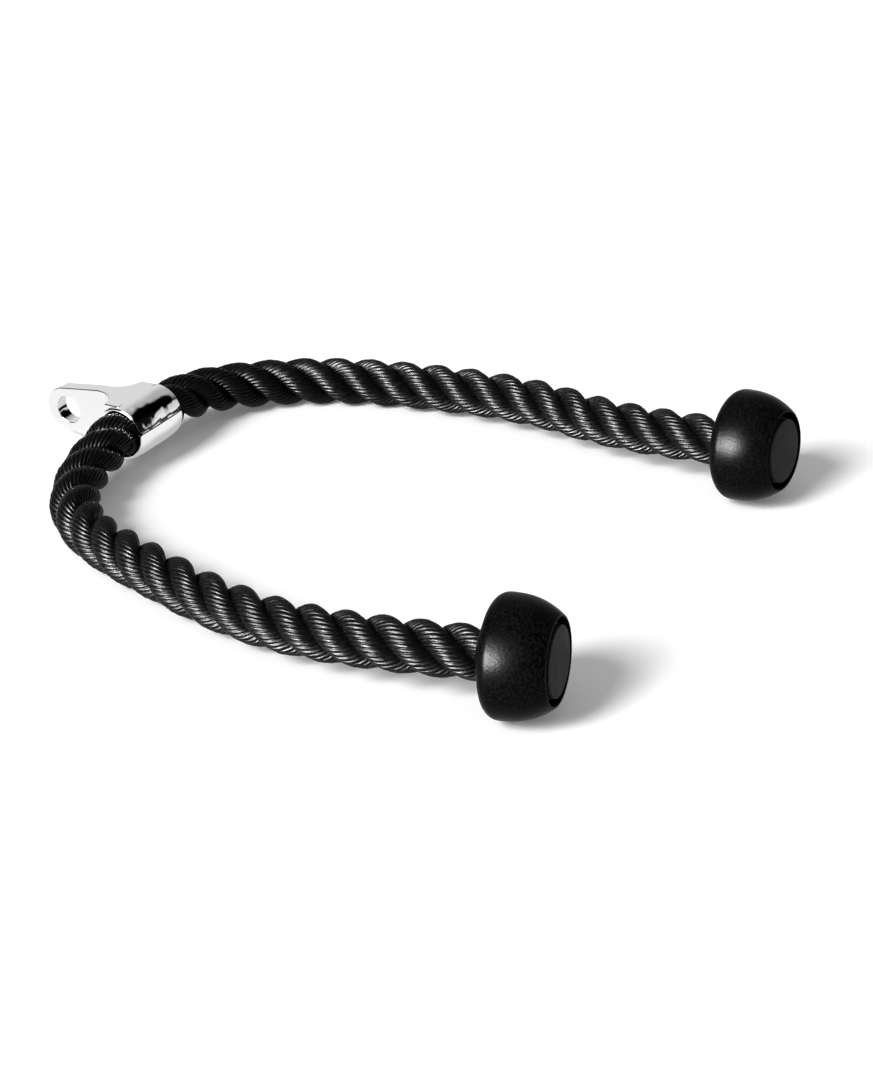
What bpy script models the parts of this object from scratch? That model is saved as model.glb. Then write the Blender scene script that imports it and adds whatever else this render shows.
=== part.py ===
"""Triceps rope attachment: a laid rope through a chromed clamp, with a rubber stopper on each end.

Metres, +Z up. The clamp's tongue points to -X and the two rope arms run to +X, as the rope lies
on a floor. The part rests on its two stoppers and on the two bends of the rope, which hold the
clamp a little off the floor. The origin is on the floor, in the middle of the box that the rigid
pieces fill.
"""

import math

import bmesh
import bpy
from mathutils import Matrix, Vector

# Running clearance between pieces that touch on the real object
GAP = 0.0003
# How far a cutter runs past the surface that it cuts
OVERRUN = 0.002
# Points closer than this are one point
WELD = 0.000001

# Rope
ROPE_DIAMETER = 0.028
ROPE_STEP = 0.012
ROPE_END_STRAIGHT = 0.0015
MOUTH_STRAIGHT = 0.008
ROPE_SIDES_RESOLUTION = 4
ROUTE_STEPS = 16

# Free route of each rope arm, from the clamp's mouth to its stopper, chosen by hand.
# X and Y are counted from the middle of the clamp's barrel, Z from the floor.
LEFT_ROUTE = (
    (0.0005, 0.0360, 0.0221),
    (0.0065, 0.0645, 0.0190),
    (0.0255, 0.0955, 0.0155),
    (0.0490, 0.1165, 0.0143),
    (0.0790, 0.1320, 0.0147),
    (0.1100, 0.1415, 0.0156),
    (0.1415, 0.1465, 0.0177),
    (0.1745, 0.1485, 0.0201),
    (0.2060, 0.1475, 0.0219),
    (0.2400, 0.1445, 0.0228),
    (0.2745, 0.1425, 0.0255),
)
RIGHT_ROUTE = (
    (0.0015, -0.0360, 0.0215),
    (0.0070, -0.0635, 0.0184),
    (0.0245, -0.0965, 0.0154),
    (0.0500, -0.1160, 0.0143),
    (0.0805, -0.1285, 0.0155),
    (0.1115, -0.1375, 0.0169),
    (0.1420, -0.1450, 0.0175),
    (0.1745, -0.1510, 0.0185),
    (0.2070, -0.1540, 0.0207),
    (0.2415, -0.1530, 0.0241),
    (0.2755, -0.1490, 0.0277),
)
# How far along an arm's centreline the bending stretch ends
BEND_LENGTH = 0.150
# Where along an arm's centreline the hinge that stands for the bending sits
HINGE_AT = 0.088

# Clamp barrel
BARREL_HEIGHT = 0.0225
BARREL_LENGTH = 0.042
BARREL_WALL = 0.0032
BARREL_EDGE = 0.0008
SEAM_WIDTH = 0.0008
SEAM_CORNER = 0.0020
SEAM_RISE = math.radians(8.5)

# Clamp tongue, counted from the middle of the barrel, and its eye
EYE_REACH = 0.0546
EYE_RADIUS = 0.0141
# How much nearer to the barrel the hole is centred than the tongue's round end
EYE_HOLE_SETBACK = 0.0021
EYE_HOLE_RADIUS = 0.0087
EYE_HOLE_CHAMFER = 0.0007
TONGUE_DROOP = math.radians(3.5)
TONGUE_FLARE = math.radians(6.9)
TONGUE_THICKNESS = 0.009
TONGUE_EDGE = 0.0006
# How far the tongue's edges stay inside the barrel's own radius where they meet it
TONGUE_INSET = 0.0001
FAN_RADIUS = 0.0155
FAN_RIM = 0.0020
FAN_AT = 0.0266

# Stopper: a cone off the rope, a round shoulder, a widest ring, and a curved taper to the rim
STOPPER_RADIUS = 0.0330
STOPPER_LENGTH = 0.0388
STOPPER_FACE_RADIUS = 0.0175
STOPPER_CROWN_AT = 0.0110
STOPPER_SHOULDER_RADIUS = 0.0073
STOPPER_RIM_RADIUS = 0.0244
STOPPER_LIP = 0.0006
TAPER_POWER = 2.5
RIM_WIDTH = 0.0008
RECESS_DEPTH = 0.0034
RECESS_EDGE = 0.0005

# Where each stopper's widest ring stands, counted from the middle of the clamp's barrel,
# and how its axis turns towards the middle plane and lifts
LEFT_STOPPER_X = 0.3369
LEFT_STOPPER_Y = 0.1411
LEFT_STOPPER_TURN = math.radians(1.0)
LEFT_STOPPER_TILT = math.radians(6.4)
RIGHT_STOPPER_X = 0.3342
RIGHT_STOPPER_Y = -0.1371
RIGHT_STOPPER_TURN = math.radians(12.0)
RIGHT_STOPPER_TILT = math.radians(4.6)

# Steel inside the stopper
WASHER_THICKNESS = 0.0020
WASHER_EDGE = 0.0003
FERRULE_WALL = 0.0023
FERRULE_LENGTH = 0.0100
CRIMP_DEPTH = 0.0006
CRIMP_COUNT = 3

# End plug: a flat head in the recess, and a stem that fills the pocket behind it
PLUG_RADIUS = 0.0175
PLUG_HEAD = 0.0024
PLUG_STEM = 0.0030
PLUG_EDGE = 0.0005

# Facets
ROUND_STEPS = 48
INNER_STEPS = 36
FILLET_STEPS = 4
SHARP_ANGLE = math.radians(35)
EDGE_ANGLE = math.radians(50)

ROPE_RADIUS = ROPE_DIAMETER / 2
BORE_RADIUS = ROPE_RADIUS + GAP
BARREL_RADIUS = BORE_RADIUS + BARREL_WALL
MOUTH = BARREL_LENGTH / 2
FERRULE_RADIUS = BORE_RADIUS + FERRULE_WALL
POCKET_RADIUS = FERRULE_RADIUS + GAP

# The stack inside a stopper, counted along its axis from the face on the rope's side
RECESS_FLOOR_AT = STOPPER_LENGTH - RECESS_DEPTH
STEM_AT = RECESS_FLOOR_AT - PLUG_STEM
FERRULE_AT = STEM_AT - GAP - FERRULE_LENGTH
WASHER_AT = FERRULE_AT - GAP - WASHER_THICKNESS
SHOULDER_AT = WASHER_AT - GAP
ROPE_END_AT = STEM_AT - GAP

FORWARD = Vector((1, 0, 0))
LEFTWARD = Vector((0, 1, 0))
DOWN = Vector((0, 0, -1))


def clear_scene():
    for obj in list(bpy.data.objects):
        bpy.data.objects.remove(obj, do_unlink=True)


def material(name, colour, roughness, metallic):
    made = bpy.data.materials.new(name)
    made.use_nodes = True
    shader = made.node_tree.nodes["Principled BSDF"]
    shader.inputs["Base Color"].default_value = (*colour, 1.0)
    shader.inputs["Roughness"].default_value = roughness
    shader.inputs["Metallic"].default_value = metallic
    return made


def add_object(name, data, parent, place, finish=None):
    obj = bpy.data.objects.new(name, data)
    bpy.context.collection.objects.link(obj)
    obj.parent = parent
    obj.rotation_mode = "QUATERNION"
    obj.location = place.to_translation()
    obj.rotation_quaternion = place.to_quaternion()
    if finish and not data.materials:
        data.materials.append(finish)
    return obj


def mesh_of(bm, name):
    bmesh.ops.recalc_face_normals(bm, faces=bm.faces[:])
    mesh = bpy.data.meshes.new(name)
    bm.to_mesh(mesh)
    bm.free()
    mesh.shade_smooth()
    mesh.set_sharp_from_angle(angle=SHARP_ANGLE)
    return mesh


def arc(centre, radius, start, end, steps):
    """Points of a round stretch in a plane, from the angle start to the angle end."""
    points = []
    for i in range(steps + 1):
        turn = start + (end - start) * i / steps
        points.append((centre[0] + radius * math.cos(turn), centre[1] + radius * math.sin(turn)))
    return points


def turned(name, profile, steps):
    """A solid turned about its own Z axis from a closed profile of (along, radius) points."""
    bm = bmesh.new()
    verts = [bm.verts.new((radius, 0, along)) for along, radius in profile]
    edges = [bm.edges.new(ends) for ends in zip(verts, verts[1:] + verts[:1])]
    bmesh.ops.spin(
        bm,
        geom=verts + edges,
        cent=(0, 0, 0),
        axis=(0, 0, 1),
        angle=math.tau,
        steps=steps,
        use_merge=True,
    )
    bmesh.ops.remove_doubles(bm, verts=bm.verts[:], dist=WELD)
    bmesh.ops.dissolve_degenerate(bm, edges=bm.edges[:], dist=WELD)
    return mesh_of(bm, name)


def extruded(name, outline, axis, half):
    """A flat outline pushed out to both sides of its plane, along the axis Y or Z."""
    bm = bmesh.new()
    if axis == "Y":
        ring = [bm.verts.new((u, -half, v)) for u, v in outline]
        step = Vector((0, 2 * half, 0))
    else:
        ring = [bm.verts.new((u, v, -half)) for u, v in outline]
        step = Vector((0, 0, 2 * half))
    grown = bmesh.ops.extrude_face_region(bm, geom=[bm.faces.new(ring)])
    moved = [piece for piece in grown["geom"] if isinstance(piece, bmesh.types.BMVert)]
    bmesh.ops.translate(bm, verts=moved, vec=step)
    return mesh_of(bm, name)


def smooth_curve(points, per_span):
    """Points of a centripetal Catmull-Rom curve through the given ones."""
    knots = [points[0] * 2 - points[1], *points, points[-1] * 2 - points[-2]]
    found = []
    for p0, p1, p2, p3 in zip(knots, knots[1:], knots[2:], knots[3:]):
        t0 = 0.0
        t1 = t0 + math.sqrt((p1 - p0).length)
        t2 = t1 + math.sqrt((p2 - p1).length)
        t3 = t2 + math.sqrt((p3 - p2).length)
        for i in range(per_span):
            t = t1 + (t2 - t1) * i / per_span
            a1 = p0 * ((t1 - t) / (t1 - t0)) + p1 * ((t - t0) / (t1 - t0))
            a2 = p1 * ((t2 - t) / (t2 - t1)) + p2 * ((t - t1) / (t2 - t1))
            a3 = p2 * ((t3 - t) / (t3 - t2)) + p3 * ((t - t2) / (t3 - t2))
            b1 = a1 * ((t2 - t) / (t2 - t0)) + a2 * ((t - t0) / (t2 - t0))
            b2 = a2 * ((t3 - t) / (t3 - t1)) + a3 * ((t - t1) / (t3 - t1))
            found.append(b1 * ((t2 - t) / (t2 - t1)) + b2 * ((t - t1) / (t2 - t1)))
    return found + [points[-1]]


class Path:
    """A smooth line that can be read at any length along it."""

    def __init__(self, points):
        self.points = points
        self.lengths = [0.0]
        for a, b in zip(points, points[1:]):
            self.lengths.append(self.lengths[-1] + (b - a).length)
        self.length = self.lengths[-1]

    def at(self, along):
        along = min(max(along, 0.0), self.length)
        i = 1
        while self.lengths[i] < along and i < len(self.points) - 1:
            i += 1
        span = self.lengths[i] - self.lengths[i - 1]
        return self.points[i - 1].lerp(self.points[i], (along - self.lengths[i - 1]) / span)

    def heading(self, along):
        return (self.at(along + ROPE_END_STRAIGHT) - self.at(along - ROPE_END_STRAIGHT)).normalized()

    def stretch(self, start, end):
        """Points from start to end, with a short straight run at each end."""
        inner_start = start + ROPE_END_STRAIGHT
        inner_end = end - ROPE_END_STRAIGHT
        run = inner_end - inner_start
        count = max(1, round(run / ROPE_STEP))
        inner = [self.at(inner_start + run * i / count) for i in range(count + 1)]
        first = inner[0] - self.heading(inner_start) * ROPE_END_STRAIGHT
        last = inner[-1] + self.heading(inner_end) * ROPE_END_STRAIGHT
        return [first, *inner, last]


def stopper_outline():
    """Outer profile of the rubber, from the face on the rope's side to the rim round the recess."""
    middle = (STOPPER_CROWN_AT, STOPPER_RADIUS - STOPPER_SHOULDER_RADIUS)
    rise = middle[1] - STOPPER_FACE_RADIUS
    away = math.hypot(STOPPER_CROWN_AT, rise)
    cone = math.atan2(rise, STOPPER_CROWN_AT) + math.asin(STOPPER_SHOULDER_RADIUS / away)
    square = math.pi / 2
    points = [(0, STOPPER_FACE_RADIUS)]
    points += arc(middle, STOPPER_SHOULDER_RADIUS, cone + square, square, FILLET_STEPS + 1)

    run = STOPPER_LENGTH - STOPPER_LIP - STOPPER_CROWN_AT
    fall = STOPPER_RADIUS - STOPPER_RIM_RADIUS
    taper_steps = 2 * FILLET_STEPS
    for i in range(1, taper_steps):
        share = i / taper_steps
        points.append((STOPPER_CROWN_AT + run * share, STOPPER_RADIUS - fall * share**TAPER_POWER))

    lean = math.atan2(run, TAPER_POWER * fall)
    lip = STOPPER_LIP / (1 - math.cos(lean))
    middle = (STOPPER_LENGTH - lip, STOPPER_RIM_RADIUS - lip * math.sin(lean))
    return points + arc(middle, lip, lean, 0, FILLET_STEPS // 2)


class Arm:
    """One arm of the rope, from the middle of the barrel to its end in the stopper."""

    def __init__(self, name, route, x, y, turn, tilt):
        self.name = name
        self.route = route
        self.side = math.copysign(1, y)
        flat = math.cos(tilt)
        self.out = Vector((flat * math.cos(turn), -self.side * flat * math.sin(turn), math.sin(tilt)))
        self.start = Vector((x, y, 0)) - self.out * STOPPER_CROWN_AT
        self.start.z = self.reach(DOWN)

    def reach(self, way):
        """How far the rubber reaches one way, from the middle of its face on the rope's side."""
        lean = self.out.dot(way)
        across = math.sqrt(1 - lean**2)
        return max(along * lean + radius * across for along, radius in stopper_outline())

    def path(self):
        places = [0, MOUTH / 2, MOUTH, MOUTH + MOUTH_STRAIGHT / 2, MOUTH + MOUTH_STRAIGHT]
        route = [Vector((0, self.side * y, BARREL_HEIGHT)) for y in places]
        route += [Vector(point) for point in self.route]
        route += [self.start + self.out * along for along in (-ROPE_RADIUS, 0, ROPE_END_AT)]
        return Path([point - ORIGIN for point in smooth_curve(route, ROUTE_STEPS)])


ARMS = (
    Arm("left", LEFT_ROUTE, LEFT_STOPPER_X, LEFT_STOPPER_Y, LEFT_STOPPER_TURN, LEFT_STOPPER_TILT),
    Arm("right", RIGHT_ROUTE, RIGHT_STOPPER_X, RIGHT_STOPPER_Y, RIGHT_STOPPER_TURN, RIGHT_STOPPER_TILT),
)


def middle_of_box():
    """The middle of the rigid pieces' box, on the floor, from the middle of the barrel."""
    left, right = ARMS
    front = max(arm.start.x + arm.reach(FORWARD) for arm in ARMS)
    back = EYE_REACH * math.cos(TONGUE_DROOP) + EYE_RADIUS
    left_side = left.start.y + left.reach(LEFTWARD)
    right_side = right.start.y - right.reach(-LEFTWARD)
    return Vector(((front - back) / 2, (left_side + right_side) / 2, 0))


ORIGIN = middle_of_box()


def rope_piece(name, path, start, end, parent, finish):
    """One stretch of the rope, as a plain tube."""
    points = path.stretch(start, end)
    shift = parent.location if parent else Vector()
    curve = bpy.data.curves.new(name, "CURVE")
    curve.dimensions = "3D"
    curve.bevel_depth = ROPE_RADIUS
    curve.bevel_resolution = ROPE_SIDES_RESOLUTION
    curve.use_fill_caps = True
    spline = curve.splines.new("POLY")
    spline.points.add(len(points) - 1)
    for knot, point in zip(spline.points, points):
        knot.co = (*(point - shift), 1.0)
    return add_object(name, curve, parent, Matrix(), finish)


def build_rope(hinges, finish):
    middle = [Vector((0, y, BARREL_HEIGHT)) - ORIGIN for y in (-MOUTH, 0, MOUTH)]
    rope_piece("rope_centre", Path(middle), 0, BARREL_LENGTH, None, finish)
    for arm in ARMS:
        path = arm.path()
        rope_piece(f"{arm.name}_rope_bend", path, MOUTH + GAP, BEND_LENGTH, None, finish)
        start = BEND_LENGTH + GAP
        rope_piece(f"{arm.name}_rope_arm", path, start, path.length, hinges[arm.name], finish)


def barrel_mesh():
    """The barrel, solid, with rounded rims; the bore is cut afterwards."""
    inset = MOUTH - BARREL_EDGE
    corner = BARREL_RADIUS - BARREL_EDGE
    square = math.pi / 2
    profile = [(-MOUTH, 0)]
    profile += arc((-inset, corner), BARREL_EDGE, 2 * square, square, FILLET_STEPS)
    profile += arc((inset, corner), BARREL_EDGE, square, 0, FILLET_STEPS)
    profile += [(MOUTH, 0)]
    return turned("barrel", profile, ROUND_STEPS)


def bore_mesh():
    """Cutter of the rope's bore, opened by a fillet at each mouth."""
    wide = BORE_RADIUS + BARREL_EDGE
    inset = MOUTH - BARREL_EDGE
    past = MOUTH + OVERRUN
    square = math.pi / 2
    profile = [(-past, 0), (-past, wide)]
    profile += arc((-inset, wide), BARREL_EDGE, 2 * square, 3 * square, FILLET_STEPS)
    profile += arc((inset, wide), BARREL_EDGE, 3 * square, 4 * square, FILLET_STEPS)
    profile += [(past, wide), (past, 0)]
    return turned("bore_cutter", profile, ROUND_STEPS)


def tongue_side_mesh():
    """The tongue seen from the side: round about the eye, then two edges that part to the barrel."""
    start = math.pi / 2 + TONGUE_FLARE
    outline = arc((-EYE_REACH, 0), EYE_RADIUS, start, math.tau - start, ROUND_STEPS // 2)
    root = BARREL_RADIUS - TONGUE_INSET
    run = (root - EYE_RADIUS / math.cos(TONGUE_FLARE)) / math.tan(TONGUE_FLARE)
    outline += [(run - EYE_REACH, -root), (0, -root), (0, root), (run - EYE_REACH, root)]
    return extruded("tongue_side", outline, "Y", MOUTH)


def tongue_plan_mesh():
    """The tongue seen from above: a flat plate that fans out by two round flanks to the barrel."""
    square = math.pi / 2
    half_plate = TONGUE_THICKNESS / 2
    half_root = MOUTH - FAN_RIM
    turn = math.acos(max(0, 1 - (half_root - half_plate) / FAN_RADIUS))
    middle = (-FAN_AT, half_plate + FAN_RADIUS)
    left = [(-EYE_REACH - EYE_RADIUS - OVERRUN, half_plate)]
    left += arc(middle, FAN_RADIUS, 3 * square, 3 * square + turn, 3 * FILLET_STEPS)
    left += [(0, left[-1][1])]
    right = [(x, -y) for x, y in reversed(left)]
    return extruded("tongue_plan", left + right, "Z", BARREL_RADIUS + OVERRUN)


def eye_cutter_mesh():
    """Cutter of the eye's hole, opened by a chamfer at both faces."""
    half = TONGUE_THICKNESS / 2
    wide = EYE_HOLE_RADIUS + EYE_HOLE_CHAMFER
    profile = [
        (-half - OVERRUN, 0),
        (-half - OVERRUN, wide + OVERRUN),
        (-half, wide),
        (-half + EYE_HOLE_CHAMFER, EYE_HOLE_RADIUS),
        (half - EYE_HOLE_CHAMFER, EYE_HOLE_RADIUS),
        (half, wide),
        (half + OVERRUN, wide + OVERRUN),
        (half + OVERRUN, 0),
    ]
    return turned("eye_cutter", profile, ROUND_STEPS)


def seam_cutter_mesh():
    """Cutter of the slit where the two jaws meet, with the jaws' corners rounded at its ends."""
    square = math.pi / 2
    wide = SEAM_WIDTH / 2 + SEAM_CORNER
    inset = MOUTH - SEAM_CORNER
    upper = [(-MOUTH - OVERRUN, wide)]
    upper += arc((-inset, wide), SEAM_CORNER, 2 * square, 3 * square, FILLET_STEPS)
    upper += arc((inset, wide), SEAM_CORNER, 3 * square, 4 * square, FILLET_STEPS)
    upper += [(MOUTH + OVERRUN, wide)]
    lower = [(y, -z) for y, z in reversed(upper)]
    return extruded("seam_cutter", upper + lower, "Z", BARREL_WALL + OVERRUN)


def helper(name, mesh, place):
    obj = add_object(name, mesh, None, place)
    obj.hide_render = True
    obj.display_type = "WIRE"
    return obj


def combine(obj, other, operation):
    step = obj.modifiers.new(other.name, "BOOLEAN")
    step.object = other
    step.operation = operation


def build_clamp(finish):
    """Tongue, barrel, bore, eye and seam, all in the clamp's own frame, which leans with the tongue."""
    quarter = math.pi / 2
    centre = Matrix.Translation(Vector((0, 0, BARREL_HEIGHT)) - ORIGIN)
    place = centre @ Matrix.Rotation(-TONGUE_DROOP, 4, "Y")
    along_y = Matrix.Rotation(-quarter, 4, "X")
    eye_place = place @ Matrix.Translation((EYE_HOLE_SETBACK - EYE_REACH, 0, 0)) @ along_y
    # The seam's outline lies in the plane of Y and Z, and is pushed through the wall along X.
    seam_turn = Matrix.Rotation(-SEAM_RISE, 4, "Y") @ Matrix.Translation((BARREL_RADIUS, 0, 0))
    seam_place = place @ seam_turn @ Matrix.Rotation(quarter, 4, "Y") @ Matrix.Rotation(quarter, 4, "Z")

    clamp = add_object("clamp", tongue_side_mesh(), None, place, finish)
    combine(clamp, helper("tongue_plan", tongue_plan_mesh(), place), "INTERSECT")
    edge = clamp.modifiers.new("tongue_edge", "BEVEL")
    edge.width = TONGUE_EDGE
    edge.segments = 1
    edge.limit_method = "ANGLE"
    edge.angle_limit = EDGE_ANGLE
    combine(clamp, helper("barrel", barrel_mesh(), place @ along_y), "UNION")
    combine(clamp, helper("bore_cutter", bore_mesh(), place @ along_y), "DIFFERENCE")
    combine(clamp, helper("eye_cutter", eye_cutter_mesh(), eye_place), "DIFFERENCE")
    combine(clamp, helper("seam_cutter", seam_cutter_mesh(), seam_place), "DIFFERENCE")


def stopper_mesh():
    """The moulded rubber, with the rope's bore, the pocket for the steel and the recess for the plug."""
    outline = stopper_outline()
    rim = outline[-1][1] - RIM_WIDTH
    profile = [(0, BORE_RADIUS), *outline]
    profile += [
        (STOPPER_LENGTH, rim),
        (STOPPER_LENGTH - RECESS_EDGE, rim - RECESS_EDGE),
        (RECESS_FLOOR_AT, rim - 2 * RECESS_EDGE),
        (RECESS_FLOOR_AT, POCKET_RADIUS),
        (SHOULDER_AT, POCKET_RADIUS),
        (SHOULDER_AT, BORE_RADIUS),
    ]
    return turned("stopper", profile, ROUND_STEPS)


def washer_mesh():
    thick = WASHER_THICKNESS
    edge = WASHER_EDGE
    flat = FERRULE_RADIUS - edge
    profile = [(0, BORE_RADIUS), (0, flat), (edge, FERRULE_RADIUS), (thick - edge, FERRULE_RADIUS)]
    profile += [(thick, flat), (thick, BORE_RADIUS)]
    return turned("washer", profile, INNER_STEPS)


def ferrule_mesh():
    """A sleeve with a ring groove at each place where the crimping tool pressed it."""
    pitch = FERRULE_LENGTH / CRIMP_COUNT
    profile = [(0, BORE_RADIUS), (0, FERRULE_RADIUS)]
    for i in range(CRIMP_COUNT):
        for share, depth in ((1 / 4, 0), (2 / 4, CRIMP_DEPTH), (3 / 4, 0)):
            profile.append((pitch * (i + share), FERRULE_RADIUS - depth))
    profile += [(FERRULE_LENGTH, FERRULE_RADIUS), (FERRULE_LENGTH, BORE_RADIUS)]
    return turned("ferrule", profile, INNER_STEPS)


def plug_mesh():
    """The plug, counted along the stopper's axis from the end of its stem."""
    stem = POCKET_RADIUS - GAP
    seat = PLUG_STEM + GAP
    top = seat + PLUG_HEAD
    profile = [(0, 0), (0, stem), (seat, stem), (seat, PLUG_RADIUS)]
    profile += [(top - PLUG_EDGE, PLUG_RADIUS), (top, PLUG_RADIUS - PLUG_EDGE), (top, 0)]
    return turned("end_plug", profile, ROUND_STEPS)


def build_ends(hinges, finishes):
    pieces = (
        ("stopper", stopper_mesh(), 0, finishes["rubber"]),
        ("washer", washer_mesh(), WASHER_AT, finishes["steel"]),
        ("ferrule", ferrule_mesh(), FERRULE_AT, finishes["steel"]),
        ("end_plug", plug_mesh(), STEM_AT, finishes["plug"]),
    )
    for arm in ARMS:
        hinge = hinges[arm.name]
        turn = Vector((0, 0, 1)).rotation_difference(arm.out).to_matrix().to_4x4()
        start = arm.start - ORIGIN - hinge.location
        for piece, mesh, along, finish in pieces:
            place = Matrix.Translation(start + arm.out * along) @ turn
            add_object(f"{arm.name}_{piece}", mesh, hinge, place, finish)


def main():
    clear_scene()
    finishes = {
        "chrome": material("chrome", (0.80, 0.80, 0.82), 0.08, 1.0),
        "rope": material("rope", (0.012, 0.012, 0.013), 0.35, 0.0),
        "rubber": material("rubber", (0.010, 0.010, 0.010), 0.38, 0.0),
        "plug": material("plug", (0.030, 0.030, 0.032), 0.55, 0.0),
        "steel": material("steel", (0.55, 0.56, 0.58), 0.30, 1.0),
    }
    hinges = {}
    for arm in ARMS:
        place = Matrix.Translation(arm.path().at(HINGE_AT))
        hinges[arm.name] = add_object(f"{arm.name}_arm_flex", None, None, place)
        hinge_place = [round(value, 5) for value in place.to_translation()]
        print(arm.name, "arm: hinge at", hinge_place, "length", round(arm.path().length, 4))
    build_clamp(finishes["chrome"])
    build_rope(hinges, finishes["rope"])
    build_ends(hinges, finishes)


main()
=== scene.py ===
"""The looks of the triceps rope attachment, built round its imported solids. Metres, +Z up."""

import math

import bmesh
import bpy
import numpy as np
from mathutils import Matrix, Vector


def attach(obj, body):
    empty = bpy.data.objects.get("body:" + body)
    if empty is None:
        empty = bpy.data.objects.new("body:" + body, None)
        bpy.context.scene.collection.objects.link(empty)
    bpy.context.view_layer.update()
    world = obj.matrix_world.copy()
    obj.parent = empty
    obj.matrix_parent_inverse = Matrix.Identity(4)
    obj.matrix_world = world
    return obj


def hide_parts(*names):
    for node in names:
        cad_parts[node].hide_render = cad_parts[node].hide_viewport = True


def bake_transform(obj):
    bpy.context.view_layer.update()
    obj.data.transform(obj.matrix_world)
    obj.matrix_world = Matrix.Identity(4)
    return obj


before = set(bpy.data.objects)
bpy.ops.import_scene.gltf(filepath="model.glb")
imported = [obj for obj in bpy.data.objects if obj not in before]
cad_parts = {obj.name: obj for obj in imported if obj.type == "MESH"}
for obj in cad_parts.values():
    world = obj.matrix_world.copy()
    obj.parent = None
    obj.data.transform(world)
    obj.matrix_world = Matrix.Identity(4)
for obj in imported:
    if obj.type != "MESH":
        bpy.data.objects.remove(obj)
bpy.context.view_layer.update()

SIDES = ("left", "right")
SQUARE = math.pi / 2
MM_PER_M = 1000
# Clearance between pieces that touch on the real object
GAP = 0.0003
# How far a cutter runs past the surface that it cuts
OVERRUN = 0.002
# Points closer than this are one point
WELD = 0.000001

# Places repeated from the model's source

# Middle of the part's box on the floor, counted from the middle of the clamp's barrel
ORIGIN = np.array((0.149269, 0.002278, 0.0))
# Free route of each rope arm, from the clamp's mouth to its stopper
ROUTES = {
    "left": (
        (0.0005, 0.0360, 0.0221),
        (0.0065, 0.0645, 0.0190),
        (0.0255, 0.0955, 0.0155),
        (0.0490, 0.1165, 0.0143),
        (0.0790, 0.1320, 0.0147),
        (0.1100, 0.1415, 0.0156),
        (0.1415, 0.1465, 0.0177),
        (0.1745, 0.1485, 0.0201),
        (0.2060, 0.1475, 0.0219),
        (0.2400, 0.1445, 0.0228),
        (0.2745, 0.1425, 0.0255),
    ),
    "right": (
        (0.0015, -0.0360, 0.0215),
        (0.0070, -0.0635, 0.0184),
        (0.0245, -0.0965, 0.0154),
        (0.0500, -0.1160, 0.0143),
        (0.0805, -0.1285, 0.0155),
        (0.1115, -0.1375, 0.0169),
        (0.1420, -0.1450, 0.0175),
        (0.1745, -0.1510, 0.0185),
        (0.2070, -0.1540, 0.0207),
        (0.2415, -0.1530, 0.0241),
        (0.2755, -0.1490, 0.0277),
    ),
}
# Where each stopper's widest ring stands, and how its axis turns towards the middle and lifts
STOPPERS = {
    "left": (0.3369, 0.1411, math.radians(1.0), math.radians(6.4)),
    "right": (0.3342, -0.1371, math.radians(12.0), math.radians(4.6)),
}
ROPE_DIAMETER = 0.028
ROPE_RADIUS = ROPE_DIAMETER / 2
BARREL_HEIGHT = 0.0225
BARREL_LENGTH = 0.042
MOUTH = BARREL_LENGTH / 2
MOUTH_STRAIGHT = 0.008
ROUTE_STEPS = 16

# Clamp, as in the source but with fine facets, rounder edges and a slightly crowned barrel

BORE_RADIUS = ROPE_RADIUS + GAP
BARREL_WALL = 0.0032
BARREL_RADIUS = BORE_RADIUS + BARREL_WALL
BARREL_EDGE = 0.0012
BARREL_CROWN = 0.0007
BARREL_CROWN_RUN = 0.0110
SEAM_WIDTH = 0.0008
SEAM_CORNER = 0.0020
SEAM_RISE = math.radians(8.5)
EYE_REACH = 0.0546
EYE_RADIUS = 0.0141
EYE_HOLE_SETBACK = 0.0021
EYE_HOLE_RADIUS = 0.0087
EYE_HOLE_EDGE = 0.0006
TONGUE_DROOP = math.radians(3.5)
TONGUE_FLARE = math.radians(6.9)
TONGUE_THICKNESS = 0.009
TONGUE_EDGE = 0.0008
TONGUE_INSET = 0.0001
FAN_RADIUS = 0.0155
FAN_RIM = 0.0020
FAN_AT = 0.0266
# How far the edges that the cuts leave are rounded off
BROKEN_EDGE = 0.0003

# Stopper, as in the source but with a fine mould line and a groove round the plug

STOPPER_RADIUS = 0.0330
STOPPER_LENGTH = 0.0388
STOPPER_FACE_RADIUS = 0.0175
STOPPER_CROWN_AT = 0.0110
STOPPER_SHOULDER_RADIUS = 0.0073
STOPPER_RIM_RADIUS = 0.0244
STOPPER_LIP = 0.0006
TAPER_POWER = 2.5
RIM_WIDTH = 0.0008
RIM_EDGE = 0.0008
MOULD_LINE_AT = 0.0056
MOULD_LINE_WIDTH = 0.00022
MOULD_LINE_DEPTH = 0.00022
RECESS_DEPTH = 0.0034
GROOVE_DEPTH = 0.0100
COLLAR_RADIUS = 0.0195
FERRULE_WALL = 0.0023
POCKET_RADIUS = BORE_RADIUS + FERRULE_WALL + GAP
POCKET_AT = 0.0207

# End plug: a flat head in the recess, and a stem in the pocket behind it

PLUG_RADIUS = 0.0189
PLUG_HEAD = 0.0036
PLUG_STEM = 0.0030
PLUG_EDGE = 0.0005

# The stack inside a stopper, counted along its axis from the face on the rope's side

RECESS_FLOOR_AT = STOPPER_LENGTH - RECESS_DEPTH
GROOVE_FLOOR_AT = STOPPER_LENGTH - GROOVE_DEPTH
STEM_AT = RECESS_FLOOR_AT - PLUG_STEM
ROPE_END_AT = STEM_AT - GAP

# Laid rope

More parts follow.
